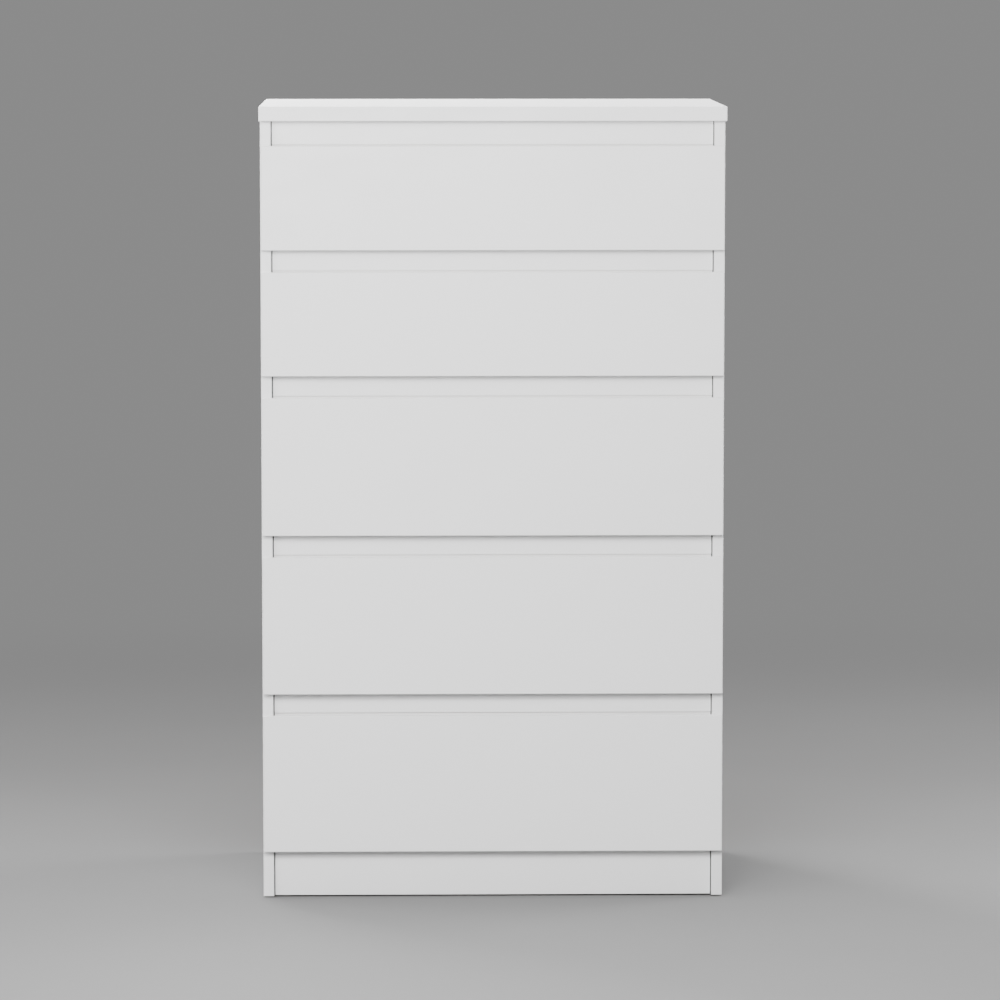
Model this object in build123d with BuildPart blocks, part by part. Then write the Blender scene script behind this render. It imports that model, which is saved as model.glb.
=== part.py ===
"""Tall chest of five handle-less drawers, a flat-pack carcass with roller runners.

Millimetres. +Z is up, the drawers face -Y, and the origin is on the floor under the middle of the chest.
Drawers, front rails and their hardware are numbered from the top down.
"""

import os

from build123d import *

# ---- boards and overall sizes
board = 16.0  # carcass boards and drawer fronts
box_board = 12.0  # drawer sides and backs
hardboard = 3.0  # drawer bottoms and the back
top_thickness = 22.0
width = 700.0  # over the top panel
top_side_overhang = 1.5  # top panel past each side panel
front_side_inset = 1.5  # drawer front in from each side panel's outer face
side_depth = 400.0  # side panels, front to back
front_gap = 2.0  # drawer front to side panel, taken up by bumpers
top_lip = 2.0  # top panel past the drawer fronts

# ---- front elevation, from the floor up
glide_height = 2.0
plinth_reveal = 73.0  # floor to the lowest drawer front
small_front = 156.0
large_front = 208.0
front_heights = [small_front, small_front, large_front, large_front, large_front]
finger_gap = 33.0  # between drawer fronts
top_gap = 37.0  # between the top panel and the first drawer front

# ---- edges
top_edge_radius = 1.5
board_edge_radius = 0.8
box_edge_radius = 1.0

# ---- drawer fronts
grip_bevel_depth = 10.0  # cut from the back of the front's top edge, for the fingertips
grip_bevel_height = 20.0

# ---- rails across the carcass
rail_setback = 8.0  # behind the side panels' front edges
plinth_setback = 6.0
plinth_lift = 0.4  # plinth above the side panels' feet
shadow_gap_width = 1.8  # open joint in front, where a front rail or the plinth meets the side panels
shadow_gap_depth = 3.4  # stops short of the dowels
rail_below_front = 14.0  # rail reaches this far below the top edge of the front beneath it
rail_above_front = 10.0  # and this far above the bottom edge of the front over it
rail_rebate_depth = 3.0  # cut from the rail's face behind the grip, for the fingertips
rail_rebate_rise = 1.5  # rebate above the top edge of the front beneath it
rear_rail_height = 64.0
rear_rail_lift = 10.0  # lower rear rail above the side panels' feet

# ---- back panel
back_inset = 10.5  # rear of the back panel in from the side panels' rear edges
back_play = 0.5  # rear rails to the back panel
groove_clearance = 0.2
back_groove_depth = 6.0
groove_play = 1.0  # left at the bottom of each groove
strip_flange = 20.0  # joining strip, height
strip_wall = 1.0
strip_web = 1.2

# ---- drawer boxes
box_gap = 12.5  # drawer box to side panel, filled by the runners
box_over_rail = 6.0
box_under_rail = 8.0
box_rear_clearance = 22.0  # drawer box to the rear rails
bottom_lift = 8.0  # underside of the drawer bottom above the box's lower edge
bottom_groove_depth = 5.0

# ---- roller runners
sheet = 1.2
bend_radius = 1.2  # on the sheet's middle line
roller_radius = 9.0
roller_width = 6.0
roller_side_gap = 0.5
roller_play = 0.3  # above and below each roller
axle_radius = 2.0
axle_clearance = 0.05
axle_head_radius = 3.4
axle_head = 0.8
axle_play = 0.3
runner_lift = 1.0  # cabinet track above the drawer box's lower edge
runner_front_setback = 3.0
cabinet_roller_inset = 11.0  # roller centre from the cabinet runner's front end
drawer_roller_inset = 12.0  # roller centre from the drawer runner's rear end
track_width = 10.7
lip_width = 6.0
lip_clearance = 0.8
drawer_track_clearance = 0.6  # drawer track to the cabinet runner's web
drawer_hold = 85.0  # length of the drawer that stays between the runners when it is full out
stop_height = 4.0
stop_width = 7.0
stop_play = 1.0  # rear roller to the stop with the drawer full out
runner_screw_front = 45.0  # from the cabinet runner's ends
runner_screw_rear = 100.0
runner_screw_hole = 2.0

# ---- fasteners
hole_clearance = 0.05
dowel_radius = 4.0
dowel_length = 30.0
dowel_in_side = 9.0
dowel_bottom_play = 1.0
dowel_edge_inset = 12.0  # dowel from the rail's lower edge
cam_edge_inset = 14.0  # cam from the rail's upper edge
cam_radius = 7.4
cam_below_bolt = 4.8  # bottom of the cam's hole past the bolt's axis
cam_bottom_play = 0.4
cam_hole_clearance = 0.1
cam_setting = 24.0  # cam centre from the board's end
cam_slot_radius = 3.9
bolt_thread_radius = 2.5
bolt_thread_length = 10.0
bolt_collar_radius = 3.5
bolt_collar = 2.0
bolt_pin_radius = 2.0
bolt_head_radius = 3.2
bolt_head = 3.0
bolt_hole_radius = 4.0
top_dowel_inset = 50.0  # from the side panels' front and rear edges
top_bolt_inset = 100.0
screw_shank_radius = 1.75
screw_length = 12.0
screw_head_radius = 3.25
screw_head = 1.8
screw_recess = 0.9
back_screw_x = [-240.0, -80.0, 80.0, 240.0]
back_screw_head_radius = 3.6

# ---- floor glides and wall brackets
glide_radius = 7.0
glide_stem_radius = 1.5
glide_stem = 12.0
glide_inset = 30.0  # from the side panels' front and rear edges
bracket_sheet = 2.0
bracket_leg = 30.0
bracket_width = 30.0
bracket_x = 200.0
bracket_bend_radius = 2.5
wall_hole_radius = 2.75
wall_hole_drop = 18.0  # below the top panel
bracket_screw_setback = 16.0  # from the rear rail's front face
bracket_hole_clearance = 0.5

# ---- worked out from the sizes above
carcass_half = width / 2 - top_side_overhang
inner_half = carcass_half - board
cam_hole_depth = board / 2 + cam_below_bolt
cam_thickness = cam_hole_depth - cam_bottom_play
depth = side_depth + front_gap + board + top_lip
top_front = -depth / 2
face_y = top_front + top_lip
front_back_y = face_y + board
side_front = front_back_y + front_gap
side_rear = side_front + side_depth
top_dowel_y = [side_front + top_dowel_inset, side_rear - top_dowel_inset]
top_bolt_y = [side_front + top_bolt_inset, side_rear - top_bolt_inset]
glide_y = [side_front + glide_inset, side_rear - glide_inset]
side_middle = (side_front + side_rear) / 2
front_half = carcass_half - front_side_inset

drawer_count = len(front_heights)
front_low = [0.0] * drawer_count
front_high = [0.0] * drawer_count
level = plinth_reveal
for place in reversed(range(drawer_count)):
    front_low[place] = level
    front_high[place] = level + front_heights[place]
    level = front_high[place] + finger_gap
top_underside = front_high[0] + top_gap
height = top_underside + top_thickness

back_rear = side_rear - back_inset
back_front = back_rear - hardboard
back_groove_front = back_front - groove_clearance
back_groove_width = hardboard + 2 * groove_clearance
rear_rail_back = back_front - back_play
rear_rail_front = rear_rail_back - board
rear_rail_middle = (rear_rail_front + rear_rail_back) / 2
panel_reach = back_groove_depth - groove_play

box_half = inner_half - box_gap
box_inner_half = box_half - box_board
box_rear = rear_rail_front - box_rear_clearance
box_length = box_rear - front_back_y
box_low = [z + rail_above_front + box_over_rail for z in front_low]
box_high = [z - rail_below_front - box_under_rail for z in front_high]
bottom_groove_width = hardboard + groove_clearance
bottom_reach = bottom_groove_depth - groove_clearance

runner_front = side_front + runner_front_setback
runner_rear = runner_front + box_length
runner_screw_y = [runner_front + runner_screw_front, runner_rear - runner_screw_rear]
drawer_travel = box_length - drawer_hold
axle_height = runner_lift + roller_play + roller_radius  # above the drawer box's lower edge
track_underside = axle_height + roller_radius + roller_play
lip_underside = track_underside + sheet + lip_clearance
cabinet_axle_y = runner_front + cabinet_roller_inset
drawer_axle_y = box_rear - drawer_roller_inset
stop_y = drawer_axle_y - drawer_travel - roller_radius - stop_play

rail_middle_y = side_front + rail_setback + board / 2
plinth_middle_y = side_front + plinth_setback + board / 2


def cross_board(name, low, high, middle_y, cam_face):
    """A board between the side panels. cam_face is 1 where its cams open towards +Y and -1 towards -Y."""
    return {"name": name, "low": low, "high": high, "y": middle_y, "cam_face": cam_face}


def list_cross_boards():
    """The front rails, the plinth and the rear rails, each as a dictionary of its place."""
    boards = []
    for k in range(drawer_count):
        low = front_high[k] - rail_below_front
        high = top_underside if k == 0 else front_low[k - 1] + rail_above_front
        boards.append(cross_board(f"front_rail_{k + 1}", low, high, rail_middle_y, 1))
    plinth_low = glide_height + plinth_lift
    boards.append(cross_board("plinth", plinth_low, plinth_reveal + rail_above_front, plinth_middle_y, 1))
    for name, low in (
        ("rear_top_rail", top_underside - rear_rail_height),
        ("rear_bottom_rail", glide_height + rear_rail_lift),
    ):
        boards.append(cross_board(name, low, low + rear_rail_height, rear_rail_middle, -1))
    return boards


cross_boards = list_cross_boards()


def dowel_height(piece):
    return piece["low"] + dowel_edge_inset


def cam_height(piece):
    return piece["high"] - cam_edge_inset


def save(part, name):
    """Labels a finished part and writes it as one STEP file."""
    part.label = name
    export_step(part, f"parts/{name}.step")


# ---------------------------------------------------------------- carcass boards


def make_top_panel():
    """The top panel, with the back panel's groove and the joint holes in its underside."""
    underside = Plane.XY.offset(top_underside)
    with BuildPart() as panel:
        with BuildSketch(underside):
            Rectangle(width, depth)
        extrude(amount=top_thickness)
        fillet(panel.faces().sort_by(Axis.Z)[-1].edges(), radius=top_edge_radius)
        fillet(panel.faces().sort_by(Axis.Z)[0].edges(), radius=board_edge_radius)
        with BuildSketch(underside):
            with Locations((0, back_groove_front + back_groove_width / 2)):
                Rectangle(2 * (inner_half + back_groove_depth), back_groove_width)
        extrude(amount=back_groove_depth, mode=Mode.SUBTRACT)
        with BuildSketch(underside):
            with Locations(*top_joint_places(top_dowel_y)):
                Circle(dowel_radius + hole_clearance)
        extrude(amount=dowel_in_side + dowel_bottom_play, mode=Mode.SUBTRACT)
        with BuildSketch(underside):
            with Locations(*top_joint_places(top_bolt_y)):
                Circle(bolt_thread_radius + hole_clearance)
        extrude(amount=bolt_thread_length + dowel_bottom_play, mode=Mode.SUBTRACT)
        with BuildSketch(underside):
            with Locations(*bracket_screw_places()):
                Circle(screw_shank_radius + hole_clearance)
        extrude(amount=screw_length, mode=Mode.SUBTRACT)
    return panel.part


def top_joint_places(ys):
    """(x, y) of the joints between the top panel and both side panels."""
    x = carcass_half - board / 2
    return [(side * x, y) for side in (-1, 1) for y in ys]


def bracket_screw_places():
    """(x, y) of the screws that hold the wall brackets to the top panel."""
    y = rear_rail_front - bracket_screw_setback
    return [(side * bracket_x, y) for side in (-1, 1)]


def make_side_panel(side):
    """One side panel, with every hole and groove in it. side is -1 for the left and 1 for the right."""
    inner_face = Plane.YZ.offset(side * inner_half)
    middle_x = side * (carcass_half - board / 2)
    panel_height = top_underside - glide_height
    with BuildPart() as panel:
        with BuildSketch(Plane.XY.offset(glide_height)):
            with Locations((middle_x, side_middle)):
                Rectangle(board, side_depth)
        extrude(amount=panel_height)
        upright = panel.edges().filter_by(Axis.Z)
        fillet(upright.sort_by(Axis.Y)[:2] + upright.sort_by(Axis.Y)[-2:], radius=board_edge_radius)
        # groove for the back panel
        with BuildSketch(inner_face):
            with Locations((back_groove_front + back_groove_width / 2, glide_height + panel_height / 2)):
                Rectangle(back_groove_width, panel_height)
        extrude(amount=side * back_groove_depth, mode=Mode.SUBTRACT)
        # dowels and cam bolts of the cross boards
        with BuildSketch(inner_face):
            with Locations(*[(piece["y"], dowel_height(piece)) for piece in cross_boards]):
                Circle(dowel_radius + hole_clearance)
        extrude(amount=side * (dowel_in_side + dowel_bottom_play), mode=Mode.SUBTRACT)
        with BuildSketch(inner_face):
            with Locations(*[(piece["y"], cam_height(piece)) for piece in cross_boards]):
                Circle(bolt_thread_radius + hole_clearance)
        extrude(amount=side * (bolt_thread_length + dowel_bottom_play), mode=Mode.SUBTRACT)
        # runner screws
        with BuildSketch(inner_face):
            with Locations(*runner_screw_places()):
                Circle(screw_shank_radius + hole_clearance)
        extrude(amount=side * screw_length, mode=Mode.SUBTRACT)
        # joints with the top panel
        with BuildSketch(inner_face):
            with Locations(*[(y, top_underside - cam_setting) for y in top_bolt_y]):
                Circle(cam_radius + cam_hole_clearance)
        extrude(amount=side * cam_hole_depth, mode=Mode.SUBTRACT)
        with BuildSketch(Plane.XY.offset(top_underside)):
            with Locations(*[(middle_x, y) for y in top_bolt_y]):
                Circle(bolt_hole_radius + hole_clearance)
        extrude(amount=-cam_setting, mode=Mode.SUBTRACT)
        with BuildSketch(Plane.XY.offset(top_underside)):
            with Locations(*[(middle_x, y) for y in top_dowel_y]):
                Circle(dowel_radius + hole_clearance)
        extrude(amount=-(dowel_length - dowel_in_side + dowel_bottom_play), mode=Mode.SUBTRACT)
        # floor glides' stems
        with BuildSketch(Plane.XY.offset(glide_height)):
            with Locations(*[(middle_x, y) for y in glide_y]):
                Circle(glide_stem_radius + hole_clearance)
        extrude(amount=glide_stem + dowel_bottom_play, mode=Mode.SUBTRACT)
    return panel.part


def runner_screw_places():
    """(y, z) of the runner screws in a side panel."""
    return [(y, z + axle_height) for z in box_low for y in runner_screw_y]


def make_cross_board(piece):
    """A rail or the plinth, drilled at both ends for a dowel and for a cam and its bolt.
    The ones in front have a narrow open joint at each end, where they meet the side panels, and a front rail
    has a shallow rebate along its foot, behind the grip of the drawer beneath it."""
    cam_plane = Plane.XZ.offset(-(piece["y"] + piece["cam_face"] * board / 2))
    with BuildPart() as rail:
        with BuildSketch(Plane.XY.offset(piece["low"])):
            with Locations((0, piece["y"])):
                Rectangle(2 * inner_half, board)
        extrude(amount=piece["high"] - piece["low"])
        fillet(rail.edges().filter_by(Axis.X).group_by(Axis.Y)[0], radius=board_edge_radius)
        if piece["cam_face"] == 1:
            gap_y = piece["y"] - board / 2 + shadow_gap_depth / 2
            gap_x = inner_half - shadow_gap_width / 2
            with BuildSketch(Plane.XY.offset(piece["low"])):
                with Locations((-gap_x, gap_y), (gap_x, gap_y)):
                    Rectangle(shadow_gap_width, shadow_gap_depth)
            extrude(amount=piece["high"] - piece["low"], mode=Mode.SUBTRACT)
        if piece["name"].startswith("front_rail"):
            with BuildSketch(Plane.XY.offset(piece["low"])):
                with Locations((0, piece["y"] - board / 2 + rail_rebate_depth / 2)):
                    Rectangle(2 * inner_half, rail_rebate_depth)
            extrude(amount=rail_below_front + rail_rebate_rise, mode=Mode.SUBTRACT)
        for side in (-1, 1):
            with BuildSketch(Plane.YZ.offset(side * inner_half)):
                with Locations((piece["y"], dowel_height(piece))):
                    Circle(dowel_radius + hole_clearance)
            extrude(amount=-side * (dowel_length - dowel_in_side + dowel_bottom_play), mode=Mode.SUBTRACT)
            with BuildSketch(Plane.YZ.offset(side * inner_half)):
                with Locations((piece["y"], cam_height(piece))):
                    Circle(bolt_hole_radius + hole_clearance)
            extrude(amount=-side * cam_setting, mode=Mode.SUBTRACT)
        with BuildSketch(cam_plane):
            with Locations(*[(side * (inner_half - cam_setting), cam_height(piece)) for side in (-1, 1)]):
                Circle(cam_radius + cam_hole_clearance)
        extrude(amount=piece["cam_face"] * cam_hole_depth, mode=Mode.SUBTRACT)
        if piece["name"].startswith("rear"):
            with BuildSketch(Plane.XZ.offset(-rear_rail_back)):
                with Locations(*[(x, piece["low"] + rear_rail_height / 2) for x in back_screw_x]):
                    Circle(screw_shank_radius + hole_clearance)
            extrude(amount=screw_length, mode=Mode.SUBTRACT)
        if piece["name"] == "rear_top_rail":
            with BuildSketch(Plane.XZ.offset(-rear_rail_back)):
                with Locations(*wall_hole_places()):
                    Circle(wall_hole_radius)
            extrude(amount=board, mode=Mode.SUBTRACT)
    return rail.part


def wall_hole_places():
    """(x, z) of the holes for the wall screws."""
    return [(side * bracket_x, top_underside - wall_hole_drop) for side in (-1, 1)]


def make_back_panel(low, high, screw_z, with_wall_holes):
    """One half of the back panel, held in the side panels' grooves."""
    with BuildPart() as panel:
        with BuildSketch(Plane.XZ.offset(-back_rear)):
            with Locations((0, (low + high) / 2)):
                Rectangle(2 * (inner_half + panel_reach), high - low)
            with Locations(*[(x, screw_z) for x in back_screw_x]):
                Circle(screw_shank_radius + hole_clearance, mode=Mode.SUBTRACT)
            if with_wall_holes:
                with Locations(*wall_hole_places()):
                    Circle(wall_hole_radius, mode=Mode.SUBTRACT)
        extrude(amount=hardboard)
    return panel.part


def make_back_joint_strip(middle_z):
    """The H-shaped plastic strip that joins the two halves of the back panel."""
    slot_half = hardboard / 2 + groove_clearance
    middle_y = (back_front + back_rear) / 2
    with BuildPart() as strip:
        with BuildSketch(Plane.YZ.offset(-(inner_half - groove_play))):
            for side in (-1, 1):
                with Locations((middle_y + side * (slot_half + strip_wall / 2), middle_z)):
                    Rectangle(strip_wall, strip_flange)
            with Locations((middle_y, middle_z)):
                Rectangle(2 * slot_half, strip_web)
        extrude(amount=2 * (inner_half - groove_play))
    return strip.part


# ---------------------------------------------------------------- carcass fasteners


def make_dowels():
    """Wooden dowels of the cross boards and of the top panel, each with tapered ends."""
    with BuildPart() as along_x:
        with BuildSketch(Plane.YZ):
            Circle(dowel_radius)
        extrude(amount=dowel_length)
        chamfer(along_x.edges(), length=box_edge_radius)
    with BuildPart() as along_z:
        with BuildSketch(Plane.XY):
            Circle(dowel_radius)
        extrude(amount=dowel_length)
        chamfer(along_z.edges(), length=box_edge_radius)
    left_x = -(inner_half + dowel_in_side)
    right_x = inner_half + dowel_in_side - dowel_length
    with BuildPart() as dowels:
        for piece in cross_boards:
            with Locations(*[(x, piece["y"], dowel_height(piece)) for x in (left_x, right_x)]):
                add(along_x.part)
        low = top_underside + dowel_in_side - dowel_length
        with Locations(*[(x, y, low) for x, y in top_joint_places(top_dowel_y)]):
            add(along_z.part)
    return dowels.part


def make_cam_bolt():
    """A cam bolt along +Z: the thread goes down from the origin and the head stands up into the cam."""
    neck = cam_setting - bolt_head / 2
    with BuildPart() as bolt:
        with BuildSketch(Plane.XZ):
            with BuildLine():
                Polyline(
                    (0, -bolt_thread_length),
                    (bolt_thread_radius, -bolt_thread_length),
                    (bolt_thread_radius, 0),
                    (bolt_collar_radius, 0),
                    (bolt_collar_radius, bolt_collar),
                    (bolt_pin_radius, bolt_collar),
                    (bolt_pin_radius, neck),
                    (bolt_head_radius, neck),
                    (bolt_head_radius, neck + bolt_head),
                    (0, neck + bolt_head),
                    close=True,
                )
            make_face()
        revolve(axis=Axis.Z)
    return bolt.part


def make_cam_bolts():
    """Every cam bolt of the carcass."""
    upright = make_cam_bolt()
    with BuildPart() as bolts:
        for piece in cross_boards:
            for side in (-1, 1):
                place = (side * inner_half, piece["y"], cam_height(piece))
                with Locations(Location(place, (0, -side * 90, 0))):
                    add(upright)
        for x, y in top_joint_places(top_bolt_y):
            with Locations(Location((x, y, top_underside), (180, 0, 0))):
                add(upright)
    return bolts.part


def make_cam():
    """A cam lock: a disc whose slot takes a bolt's head from local +X, and whose top at z = 0 has a cross."""
    slot_axis = cam_hole_depth - board / 2  # bolt axis above the bottom of the cam hole
    with BuildPart() as cam:
        with BuildSketch(Plane.XY.offset(-cam_thickness)):
            Circle(cam_radius)
        extrude(amount=cam_thickness)
        with BuildSketch(Plane.YZ.offset(-bolt_head)):
            with Locations((0, slot_axis - cam_hole_depth)):
                Circle(cam_slot_radius)
        extrude(amount=cam_radius + bolt_head, mode=Mode.SUBTRACT)
        with BuildSketch(Plane.XY):
            Rectangle(cam_radius, screw_recess)
            Rectangle(screw_recess, cam_radius)
        extrude(amount=-screw_recess, mode=Mode.SUBTRACT)
    return cam.part


def make_cam_locks():
    """Every cam lock of the carcass, each flush with the board that it sits in."""
    cam = make_cam()
    with BuildPart() as cams:
        for piece in cross_boards:
            face = piece["cam_face"]
            for side in (-1, 1):
                origin = (side * (inner_half - cam_setting), piece["y"] + face * board / 2, cam_height(piece))
                with Locations(Plane(origin=origin, x_dir=(side, 0, 0), z_dir=(0, face, 0))):
                    add(cam)
        for side in (-1, 1):
            for y in top_bolt_y:
                origin = (side * inner_half, y, top_underside - cam_setting)
                with Locations(Plane(origin=origin, x_dir=(0, 0, 1), z_dir=(-side, 0, 0))):
                    add(cam)
    return cams.part


def make_screw(head_radius):
    """A pan-head screw along -Z, with the underside of its head at z = 0 and a cross in its head."""
    with BuildPart() as screw:
        with BuildSketch(Plane.XY):
            Circle(head_radius)
        extrude(amount=screw_head)
        fillet(screw.edges().sort_by(Axis.Z)[-1], radius=box_edge_radius)
        with BuildSketch(Plane.XY):
            Circle(screw_shank_radius)
        extrude(amount=-(screw_length - dowel_bottom_play))
        chamfer(screw.edges().sort_by(Axis.Z)[0], length=box_edge_radius)
        with BuildSketch(Plane.XY.offset(screw_head)):
            Rectangle(head_radius, screw_recess)
            Rectangle(screw_recess, head_radius)
        extrude(amount=-screw_recess, mode=Mode.SUBTRACT)
    return screw.part


def make_screws(head_radius, places):
    """One group of screws. Each place is (head's underside, direction that the head faces)."""
    screw = make_screw(head_radius)
    with BuildPart() as screws:
        for origin, out in places:
            with Locations(Plane(origin=origin, z_dir=out)):
                add(screw)
    return screws.part


def runner_screw_list():
    places = []
    for side in (-1, 1):
        x = side * (inner_half - sheet)
        places += [((x, y, z), (-side, 0, 0)) for y, z in runner_screw_places()]
    return places


def back_screw_list():
    rear_rails = [piece for piece in cross_boards if piece["name"].startswith("rear")]
    heights = [piece["low"] + rear_rail_height / 2 for piece in rear_rails]
    return [((x, back_rear, z), (0, 1, 0)) for z in heights for x in back_screw_x]


def bracket_screw_list():
    z = top_underside - bracket_sheet
    return [((x, y, z), (0, 0, -1)) for x, y in bracket_screw_places()]


def make_floor_glides():
    """Nail-in plastic glides under both side panels."""
    x = carcass_half - board / 2
    with BuildPart() as glides:
        with Locations(*[(side * x, y, 0) for side in (-1, 1) for y in glide_y]):
            Cylinder(glide_radius, glide_height, align=(Align.CENTER, Align.CENTER, Align.MIN))
        fillet(glides.edges().group_by(Axis.Z)[0], radius=box_edge_radius)
        with Locations(*[(side * x, y, glide_height) for side in (-1, 1) for y in glide_y]):
            Cylinder(glide_stem_radius, glide_stem, align=(Align.CENTER, Align.CENTER, Align.MIN))
    return glides.part


def make_wall_brackets():
    """Two steel angles under the top panel, against the upper rear rail, for the wall screws."""
    half = bracket_sheet / 2
    low = top_underside - bracket_leg
    with BuildPart() as brackets:
        for side in (-1, 1):
            with BuildSketch(Plane.YZ.offset(side * bracket_x - bracket_width / 2)):
                with BuildLine():
                    FilletPolyline(
                        (rear_rail_front - half, low),
                        (rear_rail_front - half, top_underside - half),
                        (rear_rail_front - bracket_leg, top_underside - half),
                        radius=bracket_bend_radius,
                    )
                trace(line_width=bracket_sheet)
            extrude(amount=bracket_width)
        with BuildSketch(Plane.XZ.offset(-rear_rail_front)):
            with Locations(*wall_hole_places()):
                Circle(wall_hole_radius)
        extrude(amount=bracket_sheet * 2, mode=Mode.SUBTRACT)
        with BuildSketch(Plane.XY.offset(top_underside)):
            with Locations(*bracket_screw_places()):
                Circle(screw_shank_radius + bracket_hole_clearance)
        extrude(amount=-bracket_sheet * 2, mode=Mode.SUBTRACT)
    return brackets.part


# ---------------------------------------------------------------- runners


def make_cabinet_runners(side):
    """The five channels screwed to one side panel, each with its roller's axle and the drawer's stop."""
    wall_x = side * inner_half
    web_x = wall_x - side * sheet / 2
    axle_length = roller_side_gap + roller_width + axle_play
    with BuildPart() as runners:
        for z in box_low:
            track_z = z + runner_lift
            with BuildSketch(Plane.XZ.offset(-runner_front)):
                with BuildLine():
                    FilletPolyline(
                        (wall_x - side * track_width, track_z - sheet / 2),
                        (web_x, track_z - sheet / 2),
                        (web_x, z + lip_underside + sheet / 2),
                        (wall_x - side * lip_width, z + lip_underside + sheet / 2),
                        radius=bend_radius,
                    )
                trace(line_width=sheet)
            extrude(amount=-box_length)
        with BuildSketch(Plane.YZ.offset(wall_x - side * sheet)):
            with Locations(*runner_screw_places()):
                Circle(runner_screw_hole)
        extrude(amount=side * sheet, mode=Mode.SUBTRACT)
        with BuildSketch(Plane.YZ.offset(wall_x - side * sheet)):
            with Locations(*[(cabinet_axle_y, z + axle_height) for z in box_low]):
                Circle(axle_radius)
        extrude(amount=-side * axle_length)
        with BuildSketch(Plane.YZ.offset(wall_x - side * (sheet + axle_length))):
            with Locations(*[(cabinet_axle_y, z + axle_height) for z in box_low]):
                Circle(axle_head_radius)
        extrude(amount=-side * axle_head)
        with BuildSketch(Plane.XZ.offset(-stop_y)):
            with Locations(
                *[
                    (wall_x - side * (track_width - stop_width / 2), z + runner_lift + stop_height / 2)
                    for z in box_low
                ]
            ):
                Rectangle(stop_width, stop_height)
        extrude(amount=sheet)
    return runners.part


def make_drawer_runners(place):
    """The two members under one drawer's sides: foot, web and outward track, with the rear axle."""
    z = box_low[place]
    axle_length = roller_side_gap + roller_width + axle_play
    with BuildPart() as runners:
        for side in (-1, 1):
            web_x = side * (box_half + sheet / 2)
            track_x = side * (inner_half - sheet - drawer_track_clearance)
            track_z = z + track_underside + sheet / 2
            with BuildSketch(Plane.XZ.offset(-(front_back_y + front_gap))):
                with BuildLine():
                    FilletPolyline(
                        (side * box_inner_half, z - sheet / 2),
                        (web_x, z - sheet / 2),
                        (web_x, track_z),
                        (track_x, track_z),
                        radius=bend_radius,
                    )
                trace(line_width=sheet)
            extrude(amount=-(box_length - front_gap))
            face_x = side * (box_half + sheet)
            with BuildSketch(Plane.YZ.offset(face_x)):
                with Locations((drawer_axle_y, z + axle_height)):
                    Circle(axle_radius)
            extrude(amount=side * axle_length)
            with BuildSketch(Plane.YZ.offset(face_x + side * axle_length)):
                with Locations((drawer_axle_y, z + axle_height)):
                    Circle(axle_head_radius)
            extrude(amount=side * axle_head)
    return runners.part


def make_rollers(near_x, axle_y, axle_z, outward):
    """A left and a right nylon roller on one line. near_x is the roller's inner face nearest to its web."""
    with BuildPart() as rollers:
        for side in (-1, 1):
            with BuildSketch(Plane.YZ.offset(side * near_x)):
                with Locations((axle_y, axle_z)):
                    Circle(roller_radius)
            extrude(amount=side * outward * roller_width)
        fillet(rollers.edges().filter_by(GeomType.CIRCLE), radius=board_edge_radius)
        with BuildSketch(Plane.YZ.offset(-inner_half)):
            with Locations((axle_y, axle_z)):
                Circle(axle_radius + axle_clearance)
        extrude(amount=2 * inner_half, mode=Mode.SUBTRACT)
    return rollers.part


def make_cabinet_rollers(place):
    near_x = inner_half - sheet - roller_side_gap
    return make_rollers(near_x, cabinet_axle_y, box_low[place] + axle_height, -1)


def make_drawer_rollers(place):
    near_x = box_half + sheet + roller_side_gap
    return make_rollers(near_x, drawer_axle_y, box_low[place] + axle_height, 1)


# ---------------------------------------------------------------- drawers


def make_drawer_front(place):
    """A drawer front: rounded edges, a bevel behind its top edge for the fingers, and the bottom's groove."""
    low = front_low[place]
    high = front_high[place]
    with BuildPart() as front:
        with BuildSketch(Plane.YZ.offset(-front_half)):
            with BuildLine():
                Polyline(
                    (face_y, low),
                    (face_y, high),
                    (front_back_y - grip_bevel_depth, high),
                    (front_back_y, high - grip_bevel_height),
                    (front_back_y, low),
                    close=True,
                )
            make_face()
        extrude(amount=2 * front_half)
        fillet(front.faces().sort_by(Axis.Y)[0].edges(), radius=board_edge_radius)
        with BuildSketch(Plane.XZ.offset(-front_back_y)):
            with Locations((0, box_low[place] + bottom_lift + bottom_groove_width / 2)):
                Rectangle(2 * (box_inner_half + bottom_groove_depth), bottom_groove_width)
        extrude(amount=bottom_groove_depth, mode=Mode.SUBTRACT)
    return front.part


def make_drawer_sides(place):
    """The left and right sides of one drawer box, grooved for the bottom."""
    low = box_low[place]
    box_height = box_high[place] - low
    with BuildPart() as sides:
        with BuildSketch(Plane.XY.offset(low)):
            for side in (-1, 1):
                with Locations((side * (box_half - box_board / 2), front_back_y + box_length / 2)):
                    Rectangle(box_board, box_length)
        extrude(amount=box_height)
        fillet(sides.edges().filter_by(Axis.Y), radius=box_edge_radius)
        with BuildSketch(Plane.XY.offset(low + bottom_lift)):
            with Locations((0, front_back_y + box_length / 2)):
                Rectangle(2 * (box_inner_half + bottom_groove_depth), box_length)
        extrude(amount=bottom_groove_width, mode=Mode.SUBTRACT)
    return sides.part


def make_drawer_back(place):
    """The back of one drawer box, which stands on the drawer bottom."""
    low = box_low[place] + bottom_lift + bottom_groove_width
    with BuildPart() as back:
        with BuildSketch(Plane.XY.offset(low)):
            with Locations((0, box_rear - box_board / 2)):
                Rectangle(2 * box_inner_half, box_board)
        extrude(amount=box_high[place] - low)
        fillet(back.edges().filter_by(Axis.X).group_by(Axis.Z)[-1], radius=box_edge_radius)
    return back.part


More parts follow.
